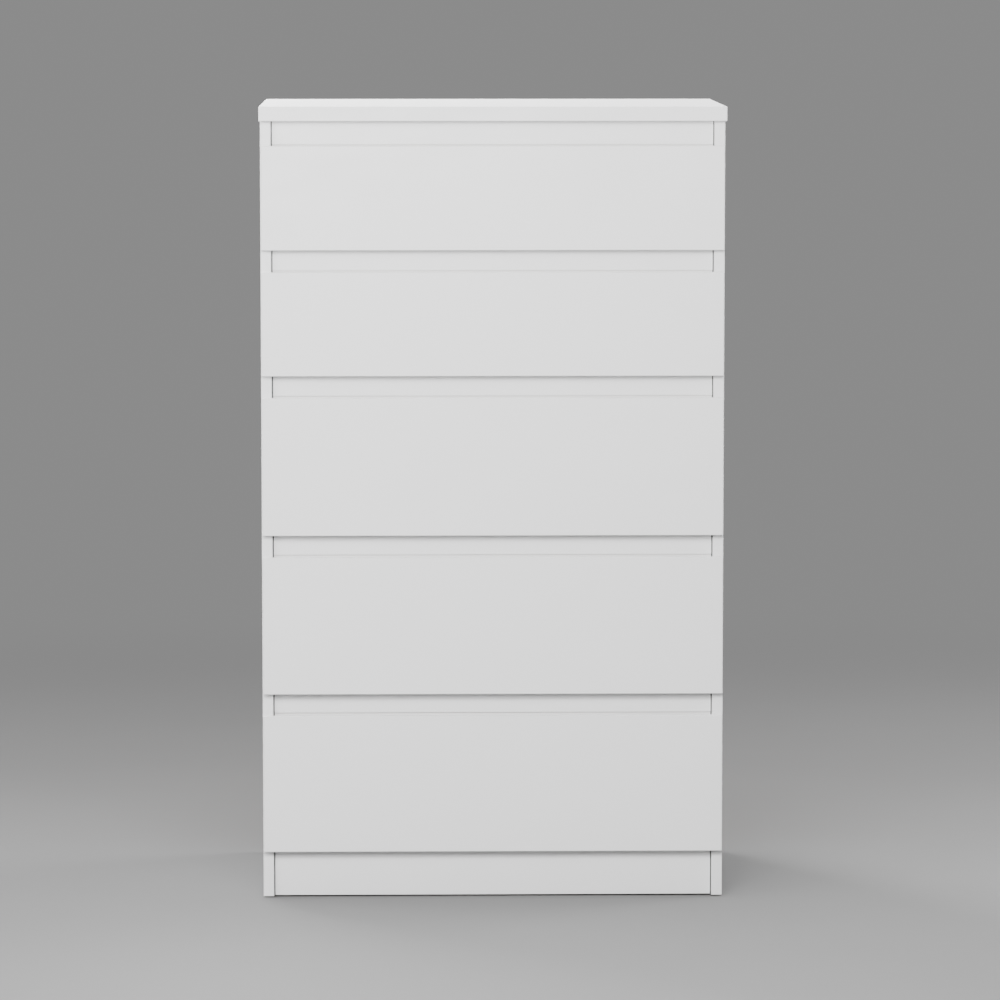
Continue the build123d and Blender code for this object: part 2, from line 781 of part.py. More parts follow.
def make_drawer_bottom(place):
    """The hardboard bottom of one drawer, in the grooves of the sides and the front."""
    low = box_low[place] + bottom_lift + groove_clearance / 2
    bottom_front = front_back_y - bottom_reach
    with BuildPart() as bottom:
        with BuildSketch(Plane.XY.offset(low)):
            with Locations((0, (bottom_front + box_rear) / 2)):
                Rectangle(2 * (box_inner_half + bottom_reach), box_rear - bottom_front)
        extrude(amount=hardboard)
    return bottom.part


# ---------------------------------------------------------------- write every part

os.makedirs("parts", exist_ok=True)

save(make_top_panel(), "top_panel")
save(make_side_panel(-1), "left_side_panel")
save(make_side_panel(1), "right_side_panel")
for cross_piece in cross_boards:
    save(make_cross_board(cross_piece), cross_piece["name"])

lower_edge = glide_height + rear_rail_lift
split_z = (lower_edge + top_underside) / 2
edge_gap = strip_web / 2 + groove_clearance
upper_screw_z = top_underside - rear_rail_height / 2
lower_screw_z = lower_edge + rear_rail_height / 2
save(
    make_back_panel(split_z + edge_gap, top_underside + panel_reach, upper_screw_z, True),
    "upper_back_panel",
)
save(make_back_panel(lower_edge, split_z - edge_gap, lower_screw_z, False), "lower_back_panel")
save(make_back_joint_strip(split_z), "back_joint_strip")

save(make_dowels(), "dowels")
save(make_cam_bolts(), "cam_bolts")
save(make_cam_locks(), "cam_locks")
save(make_screws(screw_head_radius, runner_screw_list()), "runner_screws")
save(make_screws(back_screw_head_radius, back_screw_list()), "back_panel_screws")
save(make_screws(screw_head_radius, bracket_screw_list()), "bracket_screws")
save(make_floor_glides(), "floor_glides")
save(make_wall_brackets(), "wall_brackets")
save(make_cabinet_runners(-1), "left_cabinet_runners")
save(make_cabinet_runners(1), "right_cabinet_runners")

for place in range(drawer_count):
    number = place + 1
    save(make_cabinet_rollers(place), f"cabinet_rollers_{number}")
    save(make_drawer_front(place), f"drawer_{number}_front")
    save(make_drawer_sides(place), f"drawer_{number}_sides")
    save(make_drawer_back(place), f"drawer_{number}_back")
    save(make_drawer_bottom(place), f"drawer_{number}_bottom")
    save(make_drawer_runners(place), f"drawer_{number}_runners")
    save(make_drawer_rollers(place), f"drawer_{number}_rollers")

print(f"chest {width:g} x {depth:g} x {height:g} mm, drawers travel {drawer_travel:g} mm")
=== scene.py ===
import math

import bmesh
import bpy
from mathutils import Matrix, Vector


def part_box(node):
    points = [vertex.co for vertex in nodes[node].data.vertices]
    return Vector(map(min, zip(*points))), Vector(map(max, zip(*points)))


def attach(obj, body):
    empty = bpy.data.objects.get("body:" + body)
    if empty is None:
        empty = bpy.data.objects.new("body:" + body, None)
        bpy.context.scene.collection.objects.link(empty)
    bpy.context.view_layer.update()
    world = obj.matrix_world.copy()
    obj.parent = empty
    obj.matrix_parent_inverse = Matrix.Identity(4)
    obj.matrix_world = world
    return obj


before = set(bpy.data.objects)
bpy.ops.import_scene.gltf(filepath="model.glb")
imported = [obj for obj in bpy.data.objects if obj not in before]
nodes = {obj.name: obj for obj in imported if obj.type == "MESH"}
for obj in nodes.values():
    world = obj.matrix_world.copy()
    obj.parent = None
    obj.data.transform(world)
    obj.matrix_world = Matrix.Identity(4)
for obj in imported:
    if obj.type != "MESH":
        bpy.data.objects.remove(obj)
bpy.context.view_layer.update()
mm = 0.001
drawerNumbers = range(1, 6)
print("frame loaded:", len(nodes), "nodes")


# small helpers for node trees

def addNode(tree, kind, settings=None, inputs=None):
    node = tree.nodes.new(kind)
    for key, value in (settings or {}).items():
        setattr(node, key, value)
    for key, value in (inputs or {}).items():
        if isinstance(value, bpy.types.NodeSocket):
            tree.links.new(value, node.inputs[key])
        else:
            node.inputs[key].default_value = value
    return node


def addMath(tree, operation, first, second=0.0, third=None, clamp=False):
    inputs = {0: first, 1: second}
    if third is not None:
        inputs[2] = third
    return addNode(tree, "ShaderNodeMath", {"operation": operation, "use_clamp": clamp}, inputs).outputs[0]


def addVectorMath(tree, operation, first, second):
    return addNode(tree, "ShaderNodeVectorMath", {"operation": operation}, {0: first, 1: second})


def addNoise(tree, place, scale, detail=2.0, roughness=0.5):
    inputs = {"Vector": place, "Scale": scale, "Detail": detail, "Roughness": roughness}
    return addNode(tree, "ShaderNodeTexNoise", None, inputs).outputs["Fac"]


def stretch(tree, place, scale):
    return addNode(tree, "ShaderNodeMapping", None, {"Vector": place, "Scale": scale}).outputs[0]


def addRange(tree, value, fromLow, fromHigh, toLow, toHigh):
    inputs = {"Value": value, "From Min": fromLow, "From Max": fromHigh, "To Min": toLow, "To Max": toHigh}
    settings = {"interpolation_type": "SMOOTHSTEP"}
    return addNode(tree, "ShaderNodeMapRange", settings, inputs).outputs[0]


def mixColours(tree, share, first, second):
    node = addNode(tree, "ShaderNodeMix", {"data_type": "RGBA"}, {"Factor": share})
    for socket, value in ((node.inputs[6], first), (node.inputs[7], second)):
        if isinstance(value, bpy.types.NodeSocket):
            tree.links.new(value, socket)
        else:
            socket.default_value = (*value, 1.0)
    return node.outputs[2]


def startGroup(name, sockets):
    # sockets are (name, "in" or "out", kind, default)
    group = bpy.data.node_groups.new(name, "ShaderNodeTree")
    for socketName, way, kind, default in sockets:
        direction = "INPUT" if way == "in" else "OUTPUT"
        kindName = "NodeSocket" + kind
        socket = group.interface.new_socket(socketName, in_out=direction, socket_type=kindName)
        if default is not None:
            socket.default_value = default
    return group, group.nodes.new("NodeGroupInput"), group.nodes.new("NodeGroupOutput")


def placeGroup(tree, group, inputs):
    return addNode(tree, "ShaderNodeGroup", {"node_tree": group}, inputs)


# shared effects

def makeFoilGroup():
    # the fine orange peel and print of a melamine foil, with wide, faint handling marks
    group, given, result = startGroup("foilSurface", [
        ("Place", "in", "Vector", None), ("Peel Size", "in", "Float", 0.0012),
        ("Height", "out", "Float", None), ("Marks", "out", "Float", None), ("Tone", "out", "Float", None)])
    place = given.outputs["Place"]
    peelScale = addMath(group, "DIVIDE", 1.0, given.outputs["Peel Size"])
    peel = addNoise(group, place, peelScale, 1.0)
    grain = addNoise(group, place, 4200.0, 0.0)
    height = addMath(group, "MULTIPLY_ADD", grain, 0.25, peel)
    broad = addNoise(group, place, 3.1, 3.0, 0.55)
    smear = addNoise(group, stretch(group, place, (4.0, 4.0, 14.0)), 2.2, 4.0, 0.6)
    marks = addRange(group, addMath(group, "MULTIPLY", broad, smear), 0.16, 0.42, 0.0, 1.0)
    tone = addMath(group, "MULTIPLY_ADD", grain, 0.35, addMath(group, "MULTIPLY", broad, 0.65))
    for name, value in (("Height", height), ("Marks", marks), ("Tone", tone)):
        group.links.new(value, result.inputs[name])
    return group


def makeEdgeGroup():
    # how near a point on a square-edged board is to its closest edge: the middle one of its three depths
    group, given, result = startGroup("boardEdges", [
        ("Place", "in", "Vector", None), ("Low", "in", "Vector", None), ("High", "in", "Vector", None),
        ("Band", "in", "Float", 0.001), ("Wear Width", "in", "Float", 0.002),
        ("Seam", "out", "Float", None), ("Wear", "out", "Float", None)])
    place = given.outputs["Place"]
    up = addVectorMath(group, "SUBTRACT", place, given.outputs["Low"])
    down = addVectorMath(group, "SUBTRACT", given.outputs["High"], place)
    nearest = addVectorMath(group, "MINIMUM", up.outputs[0], down.outputs[0])
    parts = addNode(group, "ShaderNodeSeparateXYZ", None, {0: nearest.outputs[0]}).outputs
    smaller = addMath(group, "MINIMUM", parts[0], parts[1])
    larger = addMath(group, "MAXIMUM", parts[0], parts[1])
    distance = addMath(group, "MAXIMUM", smaller, addMath(group, "MINIMUM", larger, parts[2]))
    fromSeam = addMath(group, "ABSOLUTE", addMath(group, "SUBTRACT", distance, given.outputs["Band"]))
    seam = addRange(group, fromSeam, 0.00006, 0.00022, 1.0, 0.0)
    rubbed = addRange(group, distance, 0.0, given.outputs["Wear Width"], 1.0, 0.0)
    patches = addRange(group, addNoise(group, place, 90.0, 4.0, 0.7), 0.5, 0.68, 0.0, 1.0)
    wear = addMath(group, "MULTIPLY", rubbed, patches)
    group.links.new(seam, result.inputs["Seam"])
    group.links.new(wear, result.inputs["Wear"])
    return group


chipLook = {"pale": (0.72, 0.54, 0.35), "warm": (0.50, 0.33, 0.19), "dark": (0.30, 0.18, 0.10)}


def makeChipGroup():
    # the pressed chips of raw particleboard
    group, given, result = startGroup("rawChips", [
        ("Place", "in", "Vector", None), ("Colour", "out", "Color", None), ("Height", "out", "Float", None)])
    place = given.outputs["Place"]
    flat = stretch(group, place, (1.0, 1.0, 2.2))
    chips = addNode(group, "ShaderNodeTexVoronoi", None, {"Vector": flat, "Scale": 480.0, "Randomness": 1.0})
    tone = addNode(group, "ShaderNodeSeparateColor", None, {0: chips.outputs["Color"]}).outputs[0]
    dust = addNoise(group, place, 1500.0, 3.0, 0.7)
    light = mixColours(group, tone, chipLook["warm"], chipLook["pale"])
    colour = mixColours(group, addRange(group, dust, 0.42, 0.72, 0.0, 0.6), light, chipLook["dark"])
    height = addMath(group, "MULTIPLY_ADD", dust, 0.6, tone)
    group.links.new(colour, result.inputs["Colour"])
    group.links.new(height, result.inputs["Height"])
    return group


def makeFacingGroup():
    # 1 where a face points along a direction, 0 elsewhere
    group, given, result = startGroup("facing", [
        ("Normal", "in", "Vector", None), ("Way", "in", "Vector", None), ("Share", "out", "Float", None)])
    dot = addVectorMath(group, "DOT_PRODUCT", given.outputs["Normal"], given.outputs["Way"]).outputs["Value"]
    group.links.new(addRange(group, dot, 0.86, 0.94, 0.0, 1.0), result.inputs["Share"])
    return group


def makeFibreGroup():
    # matted fibres, as on hardboard, or long ones along a stretched direction, as on beech
    group, given, result = startGroup("woodFibres", [
        ("Place", "in", "Vector", None), ("Scale", "in", "Float", 600.0),
        ("Tone", "out", "Float", None), ("Height", "out", "Float", None)])
    place, scale = given.outputs["Place"], given.outputs["Scale"]
    fine = addNoise(group, place, scale, 4.0, 0.65)
    wide = addNoise(group, place, addMath(group, "MULTIPLY", scale, 0.06), 3.0, 0.6)
    tone = addMath(group, "MULTIPLY_ADD", wide, 0.5, addMath(group, "MULTIPLY", fine, 0.5))
    group.links.new(tone, result.inputs["Tone"])
    group.links.new(fine, result.inputs["Height"])
    return group


def makeScuffGroup():
    # short straight scuffs in two directions, for coated and plated steel
    group, given, result = startGroup("scuffs", [
        ("Place", "in", "Vector", None), ("Amount", "in", "Float", 0.5), ("Scuffs", "out", "Float", None)])
    place = given.outputs["Place"]
    lines = []
    for turn in (0.35, 1.25):
        inputs = {"Vector": place, "Rotation": (turn, turn, turn), "Scale": (1.0, 14.0, 14.0)}
        turned = addNode(group, "ShaderNodeMapping", None, inputs).outputs[0]
        lines.append(addRange(group, addNoise(group, turned, 160.0, 2.0, 0.6), 0.62, 0.74, 0.0, 1.0))
    either = addMath(group, "MAXIMUM", lines[0], lines[1])
    group.links.new(addMath(group, "MULTIPLY", either, given.outputs["Amount"]), result.inputs["Scuffs"])
    return group


foilSurface = makeFoilGroup()
boardEdges = makeEdgeGroup()
rawChips = makeChipGroup()
facing = makeFacingGroup()
woodFibres = makeFibreGroup()
scuffs = makeScuffGroup()
print("shared effects made")


# materials

def startMaterial(name, base):
    material = bpy.data.materials.new(name)
    material.use_nodes = True
    tree = material.node_tree
    tree.nodes.clear()
    shader = addNode(tree, "ShaderNodeBsdfPrincipled")
    for key, value in base.items():
        shader.inputs[key].default_value = value
    output = addNode(tree, "ShaderNodeOutputMaterial")
    tree.links.new(shader.outputs[0], output.inputs["Surface"])
    place = addNode(tree, "ShaderNodeTexCoord").outputs["Object"]
    normal = addNode(tree, "ShaderNodeNewGeometry").outputs["Normal"]
    return material, tree, shader, place, normal


def addBump(tree, shader, height, distance):
    inputs = {"Height": height, "Distance": distance, "Strength": 1.0}
    bump = addNode(tree, "ShaderNodeBump", None, inputs)
    tree.links.new(bump.outputs[0], shader.inputs["Normal"])


boardLook = {
    "white": (0.80, 0.80, 0.805),
    "aged": (0.76, 0.755, 0.745),
    "seam": (0.50, 0.49, 0.47),
    "roughness": (0.34, 0.46),
    "peelDepth": 0.02 * mm,
    "band": 1.0 * mm,  # thickness of the edging
    "wearWidth": 1.6 * mm,
    "ageing": 0.35,
    "seamShare": 0.55,
    "wearShare": 0.25,
    "seamDepth": 1.5,  # times the peel's depth
    "chipDepth": 6.0,
    "rawDullness": 0.45,  # added to the roughness where the chips show
}


def mirrored(tree, place):
    # one pattern for a left and a right piece: x counts from the middle outwards
    parts = addNode(tree, "ShaderNodeSeparateXYZ", None, {0: place}).outputs
    across = addMath(tree, "ABSOLUTE", parts[0])
    return addNode(tree, "ShaderNodeCombineXYZ", None, {0: across, 1: parts[1], 2: parts[2]}).outputs[0]


# painted shade: the near-black tone laid into the open joints at the rails' ends stands for the groove's
# shadow
jointShadeLook = {
    "width": 1.85 * mm,
    "start": 0.5 * mm,  # behind the rail's face
    "end": 4.0 * mm,
    "tone": (0.05, 0.05, 0.05),
}


def jointShadeMask(tree, place, low, high):
    # 1 inside the open joint at either end of a rail, which is coloured near-black as painted shade for the
    # groove
    parts = addNode(tree, "ShaderNodeSeparateXYZ", None, {0: place}).outputs
    across = addMath(tree, "ABSOLUTE", parts[0])
    atEnd = addMath(tree, "GREATER_THAN", across, high.x - jointShadeLook["width"])
    behindFace = addMath(tree, "GREATER_THAN", parts[1], low.y + jointShadeLook["start"])
    inFront = addMath(tree, "LESS_THAN", parts[1], low.y + jointShadeLook["end"])
    return addMath(tree, "MULTIPLY", atEnd, addMath(tree, "MULTIPLY", behindFace, inFront))


def makeBoard(name, low, high, rawWays, isPair=False, hasJointShade=False):
    # white melamine board between two corners; rawWays are the directions of its uncovered edges
    look = boardLook
    material, tree, shader, place, normal = startMaterial(name, {"IOR": 1.47})
    foil = placeGroup(tree, foilSurface, {"Place": place})
    edgePlace = mirrored(tree, place) if isPair else place
    edges = placeGroup(tree, boardEdges, {
        "Place": edgePlace, "Low": low, "High": high, "Band": look["band"], "Wear Width": look["wearWidth"]})
    chips = placeGroup(tree, rawChips, {"Place": place})
    aged = addMath(tree, "MULTIPLY", foil.outputs["Tone"], look["ageing"])
    colour = mixColours(tree, aged, look["white"], look["aged"])
    for share, output in ((look["seamShare"], "Seam"), (look["wearShare"], "Wear")):
        shown = addMath(tree, "MULTIPLY", edges.outputs[output], share)
        colour = mixColours(tree, shown, colour, look["seam"])
    raw = None
    for way in rawWays:
        share = placeGroup(tree, facing, {"Normal": normal, "Way": way}).outputs[0]
        raw = share if raw is None else addMath(tree, "MAXIMUM", raw, share)
    roughness = addRange(tree, foil.outputs["Marks"], 0.0, 1.0, *look["roughness"])
    height = addMath(tree, "MULTIPLY_ADD", edges.outputs["Seam"], -look["seamDepth"], foil.outputs["Height"])
    if raw is not None:
        colour = mixColours(tree, raw, colour, chips.outputs["Colour"])
        roughness = addMath(tree, "MULTIPLY_ADD", raw, look["rawDullness"], roughness)
        rough = addMath(tree, "MULTIPLY", chips.outputs["Height"], raw)
        height = addMath(tree, "MULTIPLY_ADD", rough, look["chipDepth"], height)
    # painted shade: the open joints at the rail's ends turn near-black
    if hasJointShade:
        colour = mixColours(tree, jointShadeMask(tree, place, low, high), colour, jointShadeLook["tone"])
    tree.links.new(colour, shader.inputs["Base Color"])
    tree.links.new(roughness, shader.inputs["Roughness"])
    addBump(tree, shader, height, look["peelDepth"])
    return material


hardboardLook = {
    "white": (0.78, 0.78, 0.775),
    "brown": (0.26, 0.15, 0.083),
    "dark": (0.18, 0.102, 0.056),
    "fibreDepth": 0.06 * mm,
}


def makeHardboard(name, paintedWay):
    # lacquered white on one face, bare brown fibre on the other and on the cut edges
    material, tree, shader, place, normal = startMaterial(name, {"IOR": 1.45})
    fibres = placeGroup(tree, woodFibres, {"Place": place, "Scale": 900.0})
    foil = placeGroup(tree, foilSurface, {"Place": place, "Peel Size": 0.0007})
    painted = placeGroup(tree, facing, {"Normal": normal, "Way": paintedWay}).outputs[0]
    tone = addRange(tree, fibres.outputs["Tone"], 0.32, 0.66, 0.0, 1.0)
    brown = mixColours(tree, tone, hardboardLook["dark"], hardboardLook["brown"])
    white = mixColours(tree, foil.outputs["Tone"], hardboardLook["white"], boardLook["aged"])
    tree.links.new(mixColours(tree, painted, brown, white), shader.inputs["Base Color"])
    bare = addRange(tree, fibres.outputs["Height"], 0.3, 0.7, 0.62, 0.86)
    coated = addRange(tree, foil.outputs["Marks"], 0.0, 1.0, 0.42, 0.55)
    roughness = addNode(tree, "ShaderNodeMix", None, {"Factor": painted, "A": bare, "B": coated}).outputs[0]
    tree.links.new(roughness, shader.inputs["Roughness"])
    height = addMath(tree, "ADD", fibres.outputs["Height"], foil.outputs["Height"])
    addBump(tree, shader, height, hardboardLook["fibreDepth"])
    return material


coatLook = {
    "white": (0.74, 0.74, 0.72),
    "rubbed": (0.52, 0.52, 0.51),
    "roughness": (0.32, 0.5),
    "pebbleDepth": 0.04 * mm,
}


def makeCoatedSteel(name):
    # powder coat with its fine pebble, rubbed where it has been handled
    material, tree, shader, place, normal = startMaterial(name, {"IOR": 1.5})
    pebble = addNoise(tree, place, 1100.0, 2.0, 0.5)
    rub = placeGroup(tree, scuffs, {"Place": place, "Amount": 0.6}).outputs[0]
    broad = addNoise(tree, place, 24.0, 3.0, 0.6)
    colour = mixColours(tree, addMath(tree, "MULTIPLY", rub, broad), coatLook["white"], coatLook["rubbed"])
    tree.links.new(colour, shader.inputs["Base Color"])
    tree.links.new(addRange(tree, broad, 0.3, 0.7, *coatLook["roughness"]), shader.inputs["Roughness"])
    addBump(tree, shader, addMath(tree, "MULTIPLY_ADD", rub, -0.4, pebble), coatLook["pebbleDepth"])
    return material


plasticLook = {"grainDepth": 0.03 * mm, "flowShade": 0.9, "roughSpread": 0.06}


def makePlastic(name, white, rough, subsurface):
    # moulded plastic: a fine spark-eroded grain and faint flow marks
    base = {"IOR": 1.5, "Subsurface Weight": subsurface, "Subsurface Scale": 0.002}
    material, tree, shader, place, normal = startMaterial(name, base)
    grain = addNoise(tree, place, 2600.0, 2.0, 0.6)
    flow = addNoise(tree, stretch(tree, place, (1.0, 3.0, 1.0)), 70.0, 3.0, 0.5)
    dirty = tuple(plasticLook["flowShade"] * c for c in white)
    colour = mixColours(tree, addRange(tree, flow, 0.35, 0.7, 0.0, 1.0), white, dirty)
    tree.links.new(colour, shader.inputs["Base Color"])
    spread = plasticLook["roughSpread"]
    roughness = addRange(tree, grain, 0.3, 0.7, rough - spread, rough + spread)
    tree.links.new(roughness, shader.inputs["Roughness"])
    addBump(tree, shader, grain, plasticLook["grainDepth"])
    return material


metalLook = {"grainDepth": 0.02 * mm, "rubDullness": 0.12}


def makeMetal(name, bright, dull, rough, grainSize):
    # plated or cast metal: fine grain, scuffs and a cloudy bloom
    material, tree, shader, place, normal = startMaterial(name, {"Metallic": 1.0})
    cloud = addNoise(tree, place, 130.0, 4.0, 0.65)
    grain = addNoise(tree, place, 1.0 / grainSize, 2.0, 0.5)
    rub = placeGroup(tree, scuffs, {"Place": place, "Amount": 1.0}).outputs[0]
    colour = mixColours(tree, addRange(tree, cloud, 0.35, 0.65, 0.0, 1.0), bright, dull)
    tree.links.new(colour, shader.inputs["Base Color"])
    spread = addRange(tree, cloud, 0.3, 0.7, rough - 0.08, rough + 0.1)
    roughness = addMath(tree, "MULTIPLY_ADD", rub, metalLook["rubDullness"], spread)
    tree.links.new(roughness, shader.inputs["Roughness"])
    addBump(tree, shader, addMath(tree, "MULTIPLY_ADD", rub, 0.5, grain), metalLook["grainDepth"])
    return material


beechLook = {
    "pale": (0.74, 0.55, 0.36),
    "warm": (0.62, 0.42, 0.25),
    "flecks": (0.45, 0.27, 0.15),
    "grainDepth": 0.08 * mm,
}


def makeBeech(name):
    # turned beech, its fibres and flecks running along the dowel
    material, tree, shader, place, normal = startMaterial(name, {"IOR": 1.45})
    long = stretch(tree, place, (0.12, 1.0, 1.0))
    fibres = placeGroup(tree, woodFibres, {"Place": long, "Scale": 1300.0})
    flecks = addNoise(tree, stretch(tree, place, (0.3, 1.0, 1.0)), 700.0, 1.0)
    tone = addRange(tree, fibres.outputs["Tone"], 0.35, 0.65, 0.0, 1.0)
    colour = mixColours(tree, tone, beechLook["warm"], beechLook["pale"])
    colour = mixColours(tree, addRange(tree, flecks, 0.62, 0.7, 0.0, 0.5), colour, beechLook["flecks"])
    tree.links.new(colour, shader.inputs["Base Color"])
    tree.links.new(addRange(tree, fibres.outputs["Height"], 0.3, 0.7, 0.55, 0.75), shader.inputs["Roughness"])
    addBump(tree, shader, fibres.outputs["Height"], beechLook["grainDepth"])
    return material


front = (0.0, -1.0, 0.0)
rear = (0.0, 1.0, 0.0)
under = (0.0, 0.0, -1.0)
over = (0.0, 0.0, 1.0)


def dress(name, material):
    node = nodes[name]
    if not node.data.materials:
        node.data.materials.append(material)
    for slot in node.material_slots:
        slot.material = material


def dressBoard(name, rawWays, hasJointShade=False):
    low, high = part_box(name)
    dress(name, makeBoard(name + "_board", low, high, rawWays, hasJointShade=hasJointShade))


def dressCarcass():
    dressBoard("top_panel", [])
    for side in ("left", "right"):
        dressBoard(side + "_side_panel", [under])
    for number in drawerNumbers:
        dressBoard(f"front_rail_{number}", [under], hasJointShade=True)
    dressBoard("plinth", [under], hasJointShade=True)
    dressBoard("rear_top_rail", [under])
    dressBoard("rear_bottom_rail", [over, under])
    for name in ("upper_back_panel", "lower_back_panel"):
        dress(name, backHardboard)
    for name in ("left_cabinet_runners", "right_cabinet_runners"):
        dress(name, coatedSteel)
    for name in ("wall_brackets", "cam_bolts", "runner_screws", "back_panel_screws", "bracket_screws"):
        dress(name, platedSteel)
    dress("cam_locks", castZinc)
    dress("dowels", beech)
    dress("floor_glides", whitePlastic)
    dress("back_joint_strip", whitePlastic)


def dressDrawer(number):
    name = f"drawer_{number}_"
    dressBoard(name + "front", [])
    low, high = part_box(name + "sides")
    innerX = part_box(name + "back")[1].x
    sideLow = Vector((innerX, low.y, low.z))
    dress(name + "sides", makeBoard(name + "sides_board", sideLow, high, [rear, under], isPair=True))
    dressBoard(name + "back", [under])
    dress(name + "bottom", bottomHardboard)
    dress(name + "runners", coatedSteel)
    dress(name + "rollers", nylon)
    dress(f"cabinet_rollers_{number}", nylon)


backHardboard = makeHardboard("back_hardboard", front)
bottomHardboard = makeHardboard("bottom_hardboard", over)
coatedSteel = makeCoatedSteel("coated_steel")
whitePlastic = makePlastic("white_plastic", (0.74, 0.74, 0.73), 0.45, 0.05)
nylon = makePlastic("nylon", (0.78, 0.77, 0.71), 0.3, 0.25)
clearRubber = makePlastic("clear_rubber", (0.62, 0.63, 0.63), 0.25, 0.4)
platedSteel = makeMetal("plated_steel", (0.68, 0.69, 0.70), (0.52, 0.53, 0.54), 0.3, 0.0006)
castZinc = makeMetal("cast_zinc", (0.52, 0.52, 0.53), (0.40, 0.40, 0.41), 0.42, 0.0004)
beech = makeBeech("beech")

dressCarcass()
for number in drawerNumbers:
    dressDrawer(number)
print("materials on", len(nodes), "nodes")


# small trim on the drawers

def finishPiece(name, mesh, material, body):
    for face in mesh.faces:
        face.smooth = True
    data = bpy.data.meshes.new(name)
    mesh.to_mesh(data)
    mesh.free()
    data.set_sharp_from_angle(angle=math.radians(35))
    data.materials.append(material)
    piece = bpy.data.objects.new(name, data)
    bpy.context.scene.collection.objects.link(piece)
    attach(piece, body)
    return piece


def addDisc(mesh, radius, thickness, edge, segments=28):
    # a disc from z = 0 upwards, with its top edge rounded
    made = bmesh.ops.create_cone(mesh, cap_ends=True, segments=segments, radius1=radius,
                                 radius2=radius, depth=thickness)
    bmesh.ops.translate(mesh, verts=made["verts"], vec=(0, 0, thickness / 2))
    ring = [e for e in mesh.edges if all(abs(v.co.z - thickness) < 1e-7 for v in e.verts)]
    bmesh.ops.bevel(mesh, geom=ring, offset=edge, offset_type="OFFSET", segments=3, profile=0.5,
                    affect="EDGES", material=-1)
    return mesh


def cutCross(mesh, width, slot, depth, top):
    # the cross recess of a screw head: the disc's top is sunk along two crossed bars
    bars = []
    for long, wide in ((width, slot), (slot, width)):
        for axis, half in (((1, 0, 0), long / 2), ((0, 1, 0), wide / 2)):
            bars += [(axis, half), (axis, -half)]
    for axis, at in bars:
        geom = mesh.verts[:] + mesh.edges[:] + mesh.faces[:]
        bmesh.ops.bisect_plane(mesh, geom=geom, dist=1e-7, plane_co=Vector(axis) * at, plane_no=axis)
    inside = []
    for face in mesh.faces:
        centre = face.calc_center_median()
        x, y = abs(centre.x), abs(centre.y)
        inCross = (x < width / 2 and y < slot / 2) or (x < slot / 2 and y < width / 2)
        if inCross and abs(centre.z - top) < 1e-6:
            inside.append(face)
    made = bmesh.ops.extrude_face_region(mesh, geom=inside)
    moved = [v for v in made["geom"] if isinstance(v, bmesh.types.BMVert)]
    bmesh.ops.translate(mesh, verts=moved, vec=(0, 0, -depth))
    bmesh.ops.delete(mesh, geom=inside, context="FACES")
    return mesh


def copyTo(target, pattern, places, outward):
    # puts a pattern that points along +Z at each place, pointing outward
    turn = Vector(outward).to_track_quat("Z", "Y").to_matrix().to_4x4()
    for place in places:
        data = bpy.data.meshes.new("pattern")
        pattern.to_mesh(data)
        data.transform(Matrix.Translation(place) @ turn)
        target.from_mesh(data)
        bpy.data.meshes.remove(data)


bumperLook = {
    "radius": 4.0 * mm,
    "thickness": 1.8 * mm,
    "edge": 0.7 * mm,
    "fromTop": 30 * mm,
    "fromBottom": 20 * mm,
}


def makeBumpers(number):
    # soft dots on the back of the front that meet the side panels' edges
    body = f"drawer_{number}"
    low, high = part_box(body + "_front")
    panelLow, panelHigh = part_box("right_side_panel")
    x = (panelLow.x + panelHigh.x) / 2
    pattern = addDisc(bmesh.new(), bumperLook["radius"], bumperLook["thickness"], bumperLook["edge"])
    heights = (low.z + bumperLook["fromBottom"], high.z - bumperLook["fromTop"])
    places = [Vector((side * x, high.y, z)) for side in (-1, 1) for z in heights]
    mesh = bmesh.new()
    copyTo(mesh, pattern, places, (0, 1, 0))
    pattern.free()
    finishPiece(body + "_bumpers", mesh, clearRubber, body)


capLook = {
    "radius": 8.5 * mm,
    "thickness": 1.2 * mm,
    "edge": 0.6 * mm,
    "segments": 40,
    "fromFront": 24 * mm,
    "fromBottom": 30 * mm,
    "fromTop": 21 * mm,
}


def makeCamCaps(number):
    # the plastic caps over the cams that hold the front to the drawer's sides
    body = f"drawer_{number}"
    low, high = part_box(body + "_sides")
    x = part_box(body + "_back")[1].x
    look = capLook
    pattern = addDisc(bmesh.new(), look["radius"], look["thickness"], look["edge"], look["segments"])
    heights = (low.z + look["fromBottom"], high.z - look["fromTop"])
    mesh = bmesh.new()
    for side in (-1, 1):
        places = [Vector((side * x, low.y + look["fromFront"], z)) for z in heights]
        copyTo(mesh, pattern, places, (-side, 0, 0))
    pattern.free()
    finishPiece(body + "_cam_caps", mesh, whitePlastic, body)


screwLook = {
    "radius": 3.2 * mm,
    "thickness": 1.3 * mm,
    "edge": 0.5 * mm,
    "cross": 3.4 * mm,
    "slot": 0.8 * mm,
    "depth": 0.7 * mm,
    "insets": (60 * mm, 180 * mm, 300 * mm),  # behind the drawer side's front end
    "height": 11 * mm,
    "web": 1.2 * mm,  # the runner's sheet under the head
}


def makeRunnerScrews(number):
    # the screws through each drawer runner's web into the drawer's side
    body = f"drawer_{number}"
    sideLow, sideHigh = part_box(body + "_sides")
    look = screwLook
    head = addDisc(bmesh.new(), look["radius"], look["thickness"], look["edge"])
    pattern = cutCross(head, look["cross"], look["slot"], look["depth"], look["thickness"])
    mesh = bmesh.new()
    for side in (-1, 1):
        places = [Vector((side * (sideHigh.x + look["web"]), sideLow.y + y, sideLow.z + look["height"]))
                  for y in look["insets"]]
        copyTo(mesh, pattern, places, (side, 0, 0))
    pattern.free()
    finishPiece(body + "_runner_screws", mesh, platedSteel, body)


backScrewLook = {
    "radius": 3.6 * mm,
    "thickness": 0.5 * mm,
    "edge": 0.2 * mm,
    "depth": 0.4 * mm,
    "inset": 22 * mm,
}


